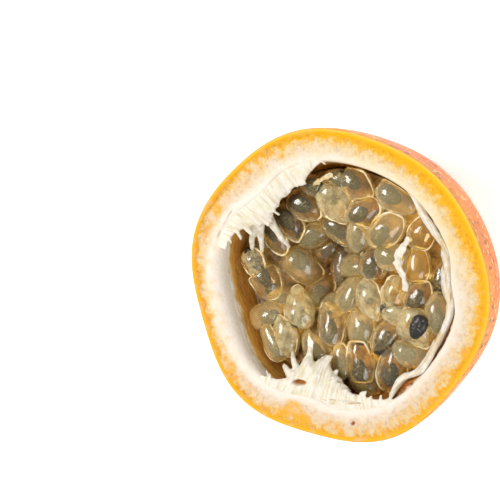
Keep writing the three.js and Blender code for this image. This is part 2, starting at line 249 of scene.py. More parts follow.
class Look:
    """A node material with one Principled shader, and short ways to add nodes to it."""

    def __init__(self, name, roughness=0.5, **plain):
        self.material = bpy.data.materials.new(name)
        self.material.use_nodes = True
        self.tree = self.material.node_tree
        self.shader = self.tree.nodes["Principled BSDF"]
        self.shader.inputs["Roughness"].default_value = roughness
        for socket, value in plain.items():
            self.shader.inputs[socket.replace("_", " ")].default_value = value
        self.place = self.add("ShaderNodeTexCoord").outputs["Object"]

    def add(self, kind, inputs=None, **settings):
        node = self.tree.nodes.new(kind)
        for key, value in settings.items():
            setattr(node, key, value)
        for key, value in (inputs or {}).items():
            self.feed(node.inputs[key], value)
        return node

    def feed(self, socket, value):
        """Links an output to the socket, or sets its value. A text is a colour."""
        if isinstance(value, bpy.types.NodeSocket):
            self.tree.links.new(value, socket)
        else:
            socket.default_value = rgb(value) if isinstance(value, str) else value

    def field(self, name, vector=False):
        return self.add("ShaderNodeAttribute", attribute_name=name).outputs["Vector" if vector else "Fac"]

    def stretched(self, vector, scale):
        return self.add("ShaderNodeVectorMath", {0: vector, 1: scale}, operation="MULTIPLY").outputs[0]

    def noise(self, size_mm, detail=3.0, rough=0.55, vector=None):
        """Noise whose lumps are about size_mm across."""
        inputs = {"Vector": vector or self.place, "Scale": 1 / (size_mm * MM)}
        inputs |= {"Detail": detail, "Roughness": rough}
        return self.add("ShaderNodeTexNoise", inputs).outputs["Fac"]

    def spots(self, spacing_mm):
        """Distance from the nearest of many scattered points."""
        inputs = {"Vector": self.place, "Scale": 1 / (spacing_mm * MM), "Randomness": 1.0}
        return self.add("ShaderNodeTexVoronoi", inputs).outputs["Distance"]

    def rise(self, value, low, high, to_low=0.0, to_high=1.0):
        inputs = {"Value": value, "From Min": low, "From Max": high, "To Min": to_low, "To Max": to_high}
        return self.add("ShaderNodeMapRange", inputs, interpolation_type="SMOOTHSTEP").outputs["Result"]

    def maths(self, operation, first, *others):
        for other in others:
            first = self.add("ShaderNodeMath", {0: first, 1: other}, operation=operation).outputs[0]
        return first

    def times(self, *values):
        return self.maths("MULTIPLY", *values)

    def plus(self, *values):
        return self.maths("ADD", *values)

    def minus(self, *values):
        return self.maths("SUBTRACT", *values)

    def over(self, *values):
        return self.maths("DIVIDE", *values)

    def mix(self, share, first, second, blend="MIX"):
        node = self.add("ShaderNodeMix", data_type="RGBA", blend_type=blend)
        for socket, value in ((node.inputs[0], share), (node.inputs[6], first), (node.inputs[7], second)):
            self.feed(socket, value)
        return node.outputs[2]

    def ramp(self, value, stops):
        node = self.add("ShaderNodeValToRGB", {"Fac": value})
        elements = node.color_ramp.elements
        while len(elements) < len(stops):
            elements.new(0.5)
        for element, (position, colour) in zip(elements, stops):
            element.position = position
            element.color = rgb(colour)
        return node.outputs["Color"]

    def colour(self, value):
        self.feed(self.shader.inputs["Base Color"], value)

    def roughness(self, value):
        self.feed(self.shader.inputs["Roughness"], value)

    def relief(self, height, depth_mm):
        inputs = {"Height": height, "Distance": depth_mm * MM, "Strength": 1.0}
        self.feed(self.shader.inputs["Normal"], self.add("ShaderNodeBump", inputs).outputs["Normal"])


def rgb(text):
    """A colour written as RRGGBB, as linear light."""
    parts = [int(text[i:i + 2], 16) / 255 for i in (0, 2, 4)]
    linear = [c / 12.92 if c <= 0.04045 else ((c + 0.055) / 1.055) ** 2.4 for c in parts]
    return (*linear, 1.0)


def shell_look():
    """Orange skin with pale dots and scars outside; yellow band and white spongy pith on the cut."""
    look = Look("skin_and_pith", Specular_IOR_Level=0.35)
    from_skin = look.field("from_skin")
    inside = look.field("inside")
    depth = look.field("depth")
    fibre = look.field("fibre", vector=True)

    # Skin
    orange = look.mix(look.rise(look.noise(11, 2), 0.35, 0.68), "f98406", "f06c04")
    orange = look.mix(look.rise(look.noise(16, 3), 0.54, 0.72, 0.0, 0.85), orange, "d43c0e")
    orange = look.mix(look.rise(look.noise(0.7, 3), 0.4, 0.7, 0.0, 0.4), orange, "f9942c")
    # Painted sheen: within 8 mm of the cut edge the skin is painted paler and yellower (fdae48), standing for
    # reflected light at a grazing view.
    painted_rim_sheen = look.times(look.rise(depth, 8.0, 0.0), look.rise(look.noise(1.6, 3), 0.3, 0.6, 0.2, 0.6))
    orange = look.mix(painted_rim_sheen, orange, "fdae48")
    dots = look.spots(1.7)
    dot_size = look.rise(look.noise(3.0, 1), 0.3, 0.7, 0.24, 0.4)
    dot = look.minus(1.0, look.rise(look.over(dots, dot_size), 0.6, 1.15))
    orange = look.mix(look.times(dot, 0.85), orange, "ffd68c")
    scar_place = look.rise(look.noise(9, 1), 0.52, 0.66)
    scar = look.times(look.rise(look.noise(1.6, 4, 0.65), 0.56, 0.66), scar_place)
    skin = look.mix(scar, orange, "7a2a0c")
    blossom = look.times(look.field("blossom"), look.rise(look.noise(0.6, 3), 0.3, 0.5, 0.55, 1.0))
    skin = look.mix(blossom, skin, "4c2a12")
    rosy = look.rise(look.noise(1.0, 3, 0.6, look.stretched(fibre, (0.02, 0.02, 0.05))), 0.42, 0.6)
    skin = look.mix(look.times(rosy, look.field("blush"), 0.75), skin, "c0525a")

    # Cut face: a yellow band under the skin, solid on one side and in blotchy tufts on the other.
    tufted = look.field("tufted")
    streak = look.noise(1.0, 3, 0.6, look.stretched(fibre, (0.055, 0.055, 0.03)))
    clump = look.noise(2.2, 3, 0.5)
    lump = look.plus(look.times(look.minus(clump, 0.5), 6.5), look.times(look.minus(streak, 0.5), 2.4))
    lump = look.times(lump, look.rise(tufted, 0.0, 1.0, 0.3, 1.0), look.rise(from_skin, 0.3, 1.4))
    band = look.minus(look.over(from_skin, look.field("band")), lump)
    flesh = look.ramp(look.over(band, 5.0), [
        (0.0, "f7c860"), (0.03, "ffbe0c"), (0.14, "ffb800"), (0.2, "fdc02c"),
        (0.27, "f9d488"), (0.42, "f6e0b8"), (0.7, "f3e5d2"), (1.0, "f6ede2"),
    ])
    crumb = look.noise(1.0, 4, 0.62)
    grain = look.noise(0.45, 3, 0.6)
    outer = look.rise(from_skin, 0.8, 1.8)
    rough_part = look.times(outer, look.rise(inside, 0.15, 0.3, 1.0, 0.15))
    # Painted shade: the rough sponge is darkened towards edcfae where the crumb noise sinks its relief into
    # pits.
    painted_pit_shade = look.times(look.rise(crumb, 0.46, 0.7), rough_part)
    flesh = look.mix(look.times(painted_pit_shade, 0.7), flesh, "edcfae", "MULTIPLY")
    peach = look.times(look.rise(look.noise(2.2, 3, 0.6), 0.5, 0.68), look.rise(from_skin, 6.0, 1.5))
    flesh = look.mix(look.times(peach, 0.75, tufted), flesh, "f6c48e")
    green = look.rise(look.noise(1.4, 3), 0.62, 0.76, 0.0, 0.4)
    flesh = look.mix(look.times(green, rough_part), flesh, "e9e4a8")
    warm = look.times(tufted, look.rise(inside, 0.3, 0.16, 0.35, 1.0))
    flesh = look.mix(warm, flesh, "fbefdd", "MULTIPLY")
    bleed = look.times(look.field("bleed"), look.rise(clump, 0.3, 0.55, 0.45, 1.0))
    flesh = look.mix(bleed, flesh, "fdb52c")
    flesh = look.mix(look.field("mark"), flesh, "9c4c1c")

    # Where the membrane has come away, the torn pith is stained brown.
    stained = look.times(look.rise(depth, 0.5, 1.2), look.rise(inside, 0.8, 1.0), look.field("bare"))
    stain = look.mix(look.rise(look.noise(0.5, 4), 0.35, 0.7), "9a5818", "d29a4c")
    flesh = look.mix(stained, flesh, stain)

    cut = look.rise(from_skin, 0.0, 0.12)
    look.colour(look.mix(cut, skin, flesh))
    look.roughness(look.plus(look.times(cut, 0.2), 0.42))
    skin_relief = look.plus(look.times(dot, 0.3), look.times(look.noise(0.8, 2), 0.35))
    skin_relief = look.minus(skin_relief, look.times(scar, 0.4), blossom)
    skin_relief = look.times(skin_relief, look.rise(from_skin, 0.1, 0.0))
    face_relief = look.plus(look.times(crumb, -0.9), look.times(grain, -0.35), look.times(streak, -0.6))
    face_relief = look.times(face_relief, look.rise(inside, 0.15, 0.3, 1.0, 0.3))
    face_relief = look.times(face_relief, look.rise(from_skin, 0.4, 1.8))
    look.relief(look.plus(skin_relief, face_relief), 0.6)
    return look.material


def lining_look():
    """Smooth cream membrane, wet and amber low down; the amber is partly a juice stain, partly painted shade
    of the deep cavity.
    """
    look = Look("lining", Specular_IOR_Level=0.5)
    # Below the white stretch the wall is painted amber to brown with depth: partly a juice stain, partly
    # painted shade of the deep cavity.
    below = look.minus(look.field("depth"), look.field("white_depth"))
    below = look.plus(below, look.times(look.minus(look.noise(3.0, 3), 0.5), 2.4))
    tone = look.ramp(look.rise(below, -2.0, 6.0), [
        (0.0, "faf4e8"), (0.12, "f9f0e0"), (0.17, "f2d8a6"), (0.24, "dfa84c"),
        (0.5, "cb9240"), (1.0, "ae7e38"),
    ])
    strand = look.noise(1.0, 4, 0.6, look.stretched(look.field("strand", vector=True), (MM, MM, MM)))
    tone = look.mix(look.rise(look.noise(2.6, 4, 0.6), 0.4, 0.65, 0.0, 0.8), tone, "f3e2bc", "MULTIPLY")
    tone = look.mix(look.rise(strand, 0.46, 0.6, 0.0, 0.7), tone, "e4cda6", "MULTIPLY")
    look.colour(look.mix(look.rise(strand, 0.6, 0.66, 0.0, 0.65), tone, "a87c48"))
    look.roughness(look.rise(look.noise(1.5, 2), 0.3, 0.7, 0.3, 0.5))
    look.relief(look.plus(look.noise(0.8, 4, 0.6), look.times(strand, -1.5)), 0.35)
    return look.material


def stalk_look():
    """White fibrous tissue with cream and greenish streaks along its fibres."""
    look = Look("placenta", Specular_IOR_Level=0.45)
    fibre = look.stretched(look.field("fibre", vector=True), (0.045, 0.045, 0.008))
    along = look.noise(1.0, 4, 0.6, fibre)
    even = look.noise(0.9, 4, 0.6)
    both = {0: look.field("shelf"), 2: even, 3: along}
    fibres = look.add("ShaderNodeMix", both, data_type="FLOAT").outputs[0]
    tone = look.mix(look.rise(fibres, 0.46, 0.66, 0.0, 0.7), "f4ebda", "d8c49a")
    tone = look.mix(look.rise(look.noise(2.4, 3, 0.6), 0.54, 0.68, 0.0, 0.5), tone, "e2dcac")
    # Painted: the dent of the small hole is coloured amber (b8741f) for the pulp and shade seen through it.
    look.colour(look.mix(look.field("painted_hole"), tone, "b8741f"))
    look.roughness(look.rise(fibres, 0.3, 0.7, 0.35, 0.55))
    look.relief(fibres, 0.4)
    return look.material


def core_look():
    """The juicy body under the seed sacs."""
    look = Look("pulp_core", Specular_IOR_Level=0.6, Coat_Weight=0.8, Coat_Roughness=0.06)
    tone = look.mix(look.rise(look.noise(2.2, 4), 0.35, 0.7), "6e4e22", "c09c5c")
    look.colour(look.mix(look.rise(look.noise(0.7, 3), 0.6, 0.75, 0.0, 0.6), tone, "c4a66c"))
    look.roughness(look.rise(look.noise(1.0, 2), 0.3, 0.7, 0.12, 0.35))
    look.relief(look.noise(0.9, 4, 0.6), 0.35)
    return look.material


def jelly_look():
    """Clear amber-grey jelly in a thin wet skin. Light from lamps passes through it."""
    look = Look("seed_sac_jelly", 0.1, IOR=1.14, Coat_Weight=0.8, Coat_Roughness=0.12)
    shader = look.shader
    shader.inputs["Coat IOR"].default_value = 1.65
    tone = look.mix(look.rise(look.noise(5.0, 2), 0.35, 0.65), "fbe8ae", "f2d68c")
    tone = look.mix(look.rise(look.noise(1.2, 3), 0.5, 0.75, 0.0, 0.4), tone, "f4ead0")
    tone = look.mix(look.times(look.field("golden"), 0.85), tone, "f2cc60")
    # Painted shade: sacs lying deeper than 8.5 mm are painted browner (a88048), darkening the hollow.
    tone = look.mix(look.field("low"), tone, "a88048")
    # The membrane field is real pale skin where sacs press and on the folds and flaps, painted sheen along
    # each sac's sides and painted highlight on the crumpled sacs.
    membrane_and_painted_sheen = look.times(look.field("membrane_and_painted_sheen"), look.rise(look.noise(2.0, 3), 0.3, 0.65, 0.25, 1.0))
    look.colour(look.mix(membrane_and_painted_sheen, tone, look.mix(look.rise(membrane_and_painted_sheen, 0.8, 1.0), "f0dca6", "f6e8c4")))
    milk = look.rise(look.field("milky"), 0.0, 1.0, 0.95, 0.72)
    clearness = look.times(milk, look.rise(membrane_and_painted_sheen, 0.1, 1.0, 1.0, 0.25))
    look.feed(shader.inputs["Transmission Weight"], clearness)
    look.roughness(look.rise(look.noise(1.6, 3), 0.35, 0.7, 0.02, 0.12))
    wrinkle = look.times(look.noise(1.1, 4, 0.55), look.field("wrinkled"))
    look.relief(look.plus(look.times(wrinkle, 2.4), look.noise(2.6, 2)), 0.5)
    clear = look.add("ShaderNodeBsdfTransparent", {"Color": "f3e6c2"}).outputs[0]
    shadow = look.add("ShaderNodeLightPath").outputs["Is Shadow Ray"]
    both = look.add("ShaderNodeMixShader", {0: shadow, 1: shader.outputs[0], 2: clear}).outputs[0]
    look.feed(look.tree.nodes["Material Output"].inputs["Surface"], both)
    return look.material


def seed_look():
    look = Look("seeds", Specular_IOR_Level=0.5, Coat_Weight=0.3, Coat_Roughness=0.1)
    pits = look.spots(0.55)
    tone = look.mix(look.rise(pits, 0.1, 0.6), "0a0906", "231f17")
    look.colour(look.mix(look.rise(look.noise(2.0, 3), 0.5, 0.7, 0.0, 0.4), tone, "3a3222"))
    look.roughness(look.rise(look.noise(0.8, 2), 0.3, 0.7, 0.2, 0.4))
    look.relief(pits, 0.22)
    return look.material


# ---- Shell: skin, cut face and cavity wall in one closed mesh ----

EDGE_ROUND = 0.45
FACE_DEPTH = 0.02  # of the cut face's firm edge
FACE_START = 0.2  # distance from the skin where the level cut face starts
SKIN_INSET = 0.06  # keeps the uneven skin inside the model's box
FLAT_RINGS = 6
SKIN_RINGS = 88
EDGE_RINGS = 5
FACE_RINGS = 44
LIP_RINGS = 8
WALL_RINGS = 36

# Middle azimuth and half width of the side where the yellow band is broad and even.
SOLID_BAND = (45, 125)
BAND_WIDTH = (1.1, 2.6)  # of the yellow band, on its ragged side and on its even side
BLUSH = (55, 34)  # middle azimuth and half width of a rosy stretch of skin under the cut edge
BLOSSOM_SCAR = (2.4, 0.8)  # radii underneath where it starts and where it is full
LIP_ROUND = 0.7
BROAD_LIP = (190, 62)  # middle azimuth and half width of the stretch where the lip is broader
BROAD_LIP_EXTRA = 3.0
SPONGE_SINK = (0.24, 0.1, 0.34)  # how far the sponge sinks: evenly, in tufts and in pits
MARK_DEPTH = 0.35
DIMPLE_DEPTH = 0.35
ROUGH_WALL = 0.3
FAR_FROM_SKIN = 9.0


def lip_round(azimuth):
    """Rounding of the pith's inner edge, broad on the left where the wall slopes."""
    return LIP_ROUND + BROAD_LIP_EXTRA * bump(azimuth, *BROAD_LIP)


# Centre and radius of spots of orange on the cut; then ends, half width and strength of a pit and cracks.
BLEEDS = [
    (-9.7, -27.0, 2.6), (-7.5, -29.0, 2.6), (-24.5, -19.0, 1.8), (-12.5, -28.5, 2.2), (-27.5, 15.0, 1.8),
]
CRACKS = [
    ((4.0, -29.1), (4.2, -28.9), 0.32, 1.0), ((-24.0, 15.0), (-26.8, 11.0), 0.14, 0.5),
    ((-26.8, 11.0), (-28.4, 6.0), 0.14, 0.5),
]


def spot(points, x, y, radius):
    return smooth(radius, 0.3 * radius, np.hypot(points[:, 0] - x, points[:, 1] - y))


def line_mark(points, start, end, half_width, strength):
    """The given strength on a short line across the cut face, falling to 0 at its sides."""
    start, end = np.array(start), np.array(end)
    along = end - start
    share = np.clip((points[:, :2] - start) @ along / (along @ along), 0, 1)
    off = np.linalg.norm(points[:, :2] - start - share[:, None] * along, axis=1)
    return strength * smooth(1.6 * half_width, 0.6 * half_width, off)


def make_shell():
    azimuth = np.arange(SHELL_SECTORS) * 360 / SHELL_SECTORS
    flat_angle = math.asin(HEIGHT / BODY_DEPTH)
    rings, from_skin, inside = [], [], []

    def add(radius, depth, skin_distance, inner=0.0):
        rings.append(ring_points(azimuth, radius, HEIGHT - depth))
        from_skin.append(np.broadcast_to(skin_distance, azimuth.shape))
        inside.append(np.full(azimuth.shape, inner))

    flat = skin_radius(azimuth, HEIGHT) - SKIN_INSET
    for i in range(1, FLAT_RINGS + 1):
        add(flat * i / FLAT_RINGS, HEIGHT - 1e-3, 0.0)
    for i in range(1, SKIN_RINGS + 1):
        depth = BODY_DEPTH * math.sin(flat_angle * (1 - i / SKIN_RINGS))
        depth = EDGE_ROUND + depth * (1 - EDGE_ROUND / HEIGHT)
        add(skin_radius(azimuth, depth) - SKIN_INSET, depth, 0.0)
    edge = skin_radius(azimuth, 0) - SKIN_INSET
    for i in range(1, EDGE_RINGS + 1):
        turn = math.pi / 2 * i / EDGE_RINGS
        depth = EDGE_ROUND * (1 - math.sin(turn)) + FACE_DEPTH
        add(edge - EDGE_ROUND * (1 - math.cos(turn)), depth, 0.15 * i / EDGE_RINGS)
    lip = lip_round(azimuth)
    outside = edge - EDGE_ROUND
    width = outside - (cavity_radius(azimuth, 0) + lip)
    for i in range(1, FACE_RINGS + 1):
        away = width * i / FACE_RINGS
        add(outside - away, FACE_DEPTH, FACE_START + away, 0.3 * i / FACE_RINGS)
    for i in range(1, LIP_RINGS + 1):
        turn = math.pi / 2 * i / LIP_RINGS
        depth = lip * (1 - math.cos(turn)) + FACE_DEPTH
        away = FACE_START + width + lip * math.sin(turn)
        add(cavity_radius(azimuth, 0) + lip * (1 - math.sin(turn)), depth, away, 0.3 + 0.7 * i / LIP_RINGS)
    for i in range(1, WALL_RINGS + 1):
        share = i / (WALL_RINGS + 1)
        depth = lip + (CAVITY_DEPTH - lip) * math.sin(share * math.pi / 2)
        ledge = np.clip(peel(azimuth, depth) - 0.15, 0, None) * smooth(0.5, 1.4, depth)
        add(cavity_radius(azimuth, depth) - ledge, depth, FAR_FROM_SKIN, 1.0)

    points = np.concatenate(rings)
    from_skin = np.concatenate(from_skin)
    inside = np.concatenate(inside)
    count = len(rings)
    angle = np.tile(np.radians(azimuth), count)
    radius = np.hypot(points[:, 0], points[:, 1])
    fibre = np.stack([np.cos(angle), np.sin(angle), radius / FACE_RADIUS], -1)

    # Relief of the cut face: firm level skin edge, sunken ragged sponge, smoother ring at the cavity.
    on_face = (from_skin > 0.25) & (inside < 1.0)
    sponge = smooth(0.8, 2.6, from_skin) * (1 - 0.75 * smooth(0.2, 0.32, inside))
    tufts = layered_noise(fibre * [38, 38, 14], 1.0, 3, 11)
    pits = layered_noise(points, 1.6, 3, 21)
    waves = layered_noise(points, 6.0, 2, 31)
    even, in_tufts, in_pits = SPONGE_SINK
    sink = 0.12 * (smooth(0.2, 0.9, from_skin) + waves * smooth(0.3, 1.5, from_skin))
    sink += sponge * (even + in_tufts * tufts + in_pits * pits)
    points[:, 2] -= np.where(on_face, np.clip(sink, 0.0, 1.2), 0.0)

    # Small marks on the cut: spots where the band's orange has run in, a pit and cracks.
    bleed = sum((spot(points, *place) for place in BLEEDS), np.zeros(len(points))) * on_face
    mark = np.max([line_mark(points, *place) for place in CRACKS], axis=0) * on_face
    points[:, 2] -= MARK_DEPTH * mark

    # The rough pith of the cavity wall, and the slightly uneven skin.
    wall = inside >= 1.0
    bare = np.tile(smooth(0.15, 0.6, peel(azimuth, 0.0)), count)
    swell = layered_noise(points, 1.4, 3, 41) * ROUGH_WALL * bare
    dimples = np.clip(layered_noise(points, 5.0, 3, 51), -1, 0.0) * DIMPLE_DEPTH
    outward = points[:, :2] / np.maximum(radius, 1e-6)[:, None]
    move = np.where(wall, swell, np.where(from_skin == 0, dimples * smooth(1.0, 6.0, points[:, 2]), 0.0))
    points[:, :2] += outward * move[:, None]

    turn = np.tile(azimuth, count)
    ragged = 1 - bump(turn, *SOLID_BAND)
    band = BAND_WIDTH[1] + (BAND_WIDTH[0] - BAND_WIDTH[1]) * ragged
    band *= 1 + 0.2 * noise(ring_points(turn, 30.0, 0.0), 9.0, 171)
    blush = bump(turn, *BLUSH) * smooth(3.5, 0.8, HEIGHT - np.concatenate(rings)[:, 2])
    blossom = smooth(*BLOSSOM_SCAR, np.hypot(points[:, 0], points[:, 1])) * (from_skin == 0)
    fields = {
        "from_skin": capped(0, from_skin, FAR_FROM_SKIN),
        "inside": capped(0, inside, 1),
        "depth": capped(HEIGHT, HEIGHT - points[:, 2], CAVITY_DEPTH),
        "fibre": capped([1, 0, 0], fibre, [1, 0, 0]),
        "bare": capped(0, bare, 1),
        "bleed": capped(0, np.minimum(bleed, 1), 0),
        "mark": capped(0, mark, 0),
        "tufted": capped(0, ragged, 0),
        "band": capped(1, band, 1),
        "blush": capped(0, blush, 0),
        "blossom": capped(1, blossom, 0),
    }
    points = capped([0, 0, 0], points, [0, 0, HEIGHT - CAVITY_DEPTH])
    faces = ring_faces(count, SHELL_SECTORS)
    make_piece("shell_skin_and_pith", points, faces, shell_look(), ["shell"], fields)


# ---- Lining ----

LINING_RINGS = 64
LINING_EDGE_DROP = 0.35
LINING_RADIUS = 25.0  # about its rim's, where its ripples are measured
# Middle azimuth and half width of the stretch where the wall stays white furthest down, and its depths. Below
# them the wall is painted amber, partly stain and partly shade.
WHITE_WALL = (197, 46)
WHITE_DEPTH = 2.8
WHITE_WALL_EXTRA = 2.2
RIPPLE = 0.55
LINING_ROOT = -0.15  # the membrane grows out of the pith where it hasn't peeled
# Azimuth, half width and extra width of the stretches where the membrane's rim is thicker.
LINING_BELTS = [(4, 26, 1.3), (-38, 26, 0.6), (34, 26, 0.6), (-80, 30, 0.3)]


def make_lining():
    azimuth = np.arange(LINING_SECTORS) * 360 / LINING_SECTORS
    shares = np.linspace(0, 1, LINING_RINGS + 1)[:-1]
    loose = smooth(0.1, 0.5, peel(azimuth, 0.0))
    belt = np.max([wide * bump(azimuth, middle, half) for middle, half, wide in LINING_BELTS], axis=0)
    loose = np.maximum(loose, smooth(0.1, 0.6, belt))
    belt = belt * (1 + 1.1 * layered_noise(ring_points(azimuth, LINING_RADIUS, 5.0), 2.2, 4, 181))
    top = LINING_EDGE_DROP + 0.2 * noise(ring_points(azimuth, LINING_RADIUS, 0.0), 4.0, 61)
    top = top * loose + (lip_round(azimuth) + 0.1) * (1 - loose)
    rings, depths = [], []
    inner = GAP + LINING_THICKNESS
    for inset, order in ((LINING_ROOT, shares[::-1]), (inner, shares)):
        for share in order:
            depth = top + (CAVITY_DEPTH - inset - top) * math.sin(share * math.pi / 2)
            if inset == inner:
                shift = belt * (1 - share) ** 22 - (inner + 0.1) * (1 - loose) * (1 - share) ** 8
            else:
                shift = 0.1 * loose * (1 - share) ** 8
            radius = bowl_radius(azimuth, depth, inset) - shift
            points = ring_points(azimuth, radius, HEIGHT - depth)
            ripple = layered_noise(ring_points(azimuth, LINING_RADIUS, depth), 3.6, 4, 71)
            wave = RIPPLE * ripple * np.clip(peel(azimuth, depth) + 0.1, 0, 0.6)
            points[:, :2] *= (1 - wave / np.maximum(radius, 1.0))[:, None]
            rings.append(points)
            depths.append(depth)
    bottom = HEIGHT - CAVITY_DEPTH
    points, faces = tube([0, 0, bottom + GAP], rings, [0, 0, bottom + inner])
    turn = np.tile(azimuth, len(rings))
    radius = np.hypot(*np.concatenate(rings)[:, :2].T)
    across = radius * 1.6 + np.concatenate(depths) * 1.3
    white = WHITE_DEPTH + WHITE_WALL_EXTRA * bump(turn, *WHITE_WALL)
    fields = {
        "depth": capped(CAVITY_DEPTH, np.concatenate(depths), CAVITY_DEPTH),
        "strand": capped([0, 0, 0], ring_points(turn, 4.0, across), [0, 0, 0]),
        "white_depth": capped(WHITE_DEPTH, white, WHITE_DEPTH),
    }
    make_piece("lining_membrane", points, faces, lining_look(), ["lining"], fields)


# ---- Seed sacs and seeds ----

def heap_axes(x, y, azimuth):
    """Length, width and outward directions of a sac that lies along the heap's surface."""
    step = 0.5
    slope_x = (core_depth(x + step, y) - core_depth(x - step, y)) / (2 * step)
    slope_y = (core_depth(x, y + step) - core_depth(x, y - step)) / (2 * step)
    out = Vector((slope_x * 0.7, slope_y * 0.7, 1.0)).normalized()
    along = Vector((math.cos(math.radians(azimuth)), math.sin(math.radians(azimuth)), 0.0))
    along = (along - out * along.dot(out)).normalized()
    return np.array(Matrix((along, out.cross(along), out)))


def all_sacs():
    """Each sac's centre, half sizes, axes and whether its seed shows."""
    sacs = []
    for i, (x, y, depth, length, width, azimuth) in enumerate(SACS + TOP_SACS):
        half = SAC_GROWTH * np.array([length / 2, width / 2, width / 2 * SAC_FLATNESS])
        sacs.append((np.array([x, y, HEIGHT - depth]), half, heap_axes(x, y, azimuth), i not in SEEDLESS))
    for layer, (extra, spacing, tries) in enumerate(FILL_LAYERS):
        for i in range(tries):
            turn = 360 * hashed(i, layer, 1, 3)
            across = math.sqrt(hashed(i, layer, 2, 3))
            rim = bowl_radius(turn, CORE_DEPTH + extra, GAP + LINING_THICKNESS) - FILL_MARGIN
            x, y, _ = ring_points(turn, rim * across, 0.0)
            depth = core_depth(x, y) + extra
            centre = np.array([x, y, HEIGHT - depth])
            if math.hypot(x, y) > bowl_radius(turn, depth, GAP + LINING_THICKNESS) - FILL_MARGIN:
                continue
            if min(np.linalg.norm(centre - other[0]) for other in sacs) < spacing:
                continue
            half = FILL_HALF * (0.9 + 0.2 * hashed(i, layer, 9, 3))
            sacs.append((centre, half, heap_axes(x, y, 360 * hashed(i, layer, 5, 3)), True))
    return sacs


def drop_mesh(sides, rings, pear, square):
    """A unit drop along X: rounder than an ellipsoid, and narrower towards +X."""
    angle = np.linspace(0, np.pi, rings + 2)[1:-1][::-1]
    turn = np.arange(sides) * 2 * np.pi / sides
    rows = []
    for a in angle:
        width = np.sin(a) ** square * (1 - pear * math.cos(a))
        rows.append(np.stack([np.full(sides, math.cos(a)), width * np.cos(turn), width * np.sin(turn)], -1))
    points, faces = tube([-1, 0, 0], rows, [1, 0, 0])
    return points, [tuple(reversed(face)) for face in faces]


def press(points, index, sacs):
    """Flattens a sac where it meets its neighbours."""
    centre, half, axes, _ = sacs[index]
    for other, (far, far_half, far_axes, _) in enumerate(sacs):
        apart = far - centre
        distance = np.linalg.norm(apart)
        if other == index or distance > half[0] + far_half[0]:
            continue
        way = apart / distance
        reach = 1 / np.linalg.norm((axes @ way) / half)
        far_reach = 1 / np.linalg.norm((far_axes @ way) / far_half)
        overlap = reach + far_reach - distance
        if overlap <= 0:
            continue
        limit = reach - overlap / 2 - SAC_CLEARANCE
        past = (points - centre) @ way - max(limit, 0.4 * reach)
        points = points - np.clip(past, 0, None)[:, None] * way * PRESS_SHARE
    return points


def keep_inside(points):
    """Keeps a sac inside the lining and under the cut face."""
    depth = np.clip(HEIGHT - points[:, 2], 0.5, CAVITY_DEPTH - 2)
    radius = np.hypot(points[:, 0], points[:, 1])
    azimuth = np.degrees(np.arctan2(points[:, 1], points[:, 0]))
    limit = bowl_radius(azimuth, depth, GAP + LINING_THICKNESS + 0.15)
    share = np.minimum(1, limit / np.maximum(radius, 1e-6))
    points = points.copy()
    points[:, :2] *= share[:, None]
    points[:, 2] = np.minimum(points[:, 2], HEIGHT - 0.5)
    return points


def join(parts):
    points, faces, offset = [], [], 0
    for part_points, part_faces in parts:
        points.append(part_points)
        faces += [tuple(i + offset for i in face) for face in part_faces]
        offset += len(part_points)
    return np.concatenate(points), faces


FOLD_STEPS, FOLD_SIDES = 110, 7
FOLD_THICKNESS = 0.2
FOLD_LIFT = 0.3  # height over the sac's middle, as a share of its half height


def fold_mesh(index, sacs):
    """The fold of pale skin round a sac, a cord of uneven thickness that comes and goes."""
    centre, half, axes, _ = sacs[index]
    turn = np.linspace(0, 2 * np.pi, FOLD_STEPS, endpoint=False)
    level = math.sqrt(1 - FOLD_LIFT**2)
    width = np.abs(np.sin(turn)) ** SAC_SQUARE * (1 - SAC_PEAR * np.cos(turn)) * np.sign(np.sin(turn))
    unit = np.stack([level * np.cos(turn), level * width, np.full(FOLD_STEPS, FOLD_LIFT)], -1)
    line = keep_inside(uneven(press(centre + (unit * half) @ axes, index, sacs), index, centre))
    fade = layered_noise(line + 3.0 * index, 3.5, 2, 161)
    thick = FOLD_THICKNESS * np.clip(0.4 + 2.0 * fade, 0.06, 1.2)
    along = np.roll(line, -1, 0) - np.roll(line, 1, 0)
    along /= np.linalg.norm(along, axis=1)[:, None]
    out = np.cross(along, axes[2])
    out /= np.linalg.norm(out, axis=1)[:, None]
    over = np.cross(out, along)
    points = []
    for side in np.arange(FOLD_SIDES) * 2 * np.pi / FOLD_SIDES:
        points.append(line + thick[:, None] * (math.cos(side) * out + math.sin(side) * over * 1.3))
    points = np.stack(points, 1).reshape(-1, 3)
    faces = []
    for i in range(FOLD_STEPS):
        for j in range(FOLD_SIDES):
            here, there, next_side = i * FOLD_SIDES, (i + 1) % FOLD_STEPS * FOLD_SIDES, (j + 1) % FOLD_SIDES
            faces.append((here + j, here + next_side, there + next_side, there + j))
    return points, faces


def uneven(points, index, centre):
    """Lumps and creases in a sac's surface."""
    crumple = 1.0 if index in CRUMPLED else LITTLE_CRUMPLE
    lumps = layered_noise(points + 7.0 * index, 3.2, 2, 81)[:, None] * 0.3
    creases = -np.abs(layered_noise(points + 7.0 * index, 1.5, 2, 91))[:, None] * 0.4 * crumple
    away = points - centre
    return points + away / np.linalg.norm(away, axis=1)[:, None] * (lumps + creases)


# Flaps of white membrane left on the heap: the points of each, x, y, depth.
FLAPS = [
    [(-4.6, 22, 3.2), (-3, 22.6, 2.5), (-1.4, 23.2, 2.5)],
    [(-6.6, 20.4, 4.2), (-5.6, 21.2, 3.4), (-4.6, 22.2, 3)],
]
FLAP_WIDTH, FLAP_THICKNESS = 1.1, 0.3


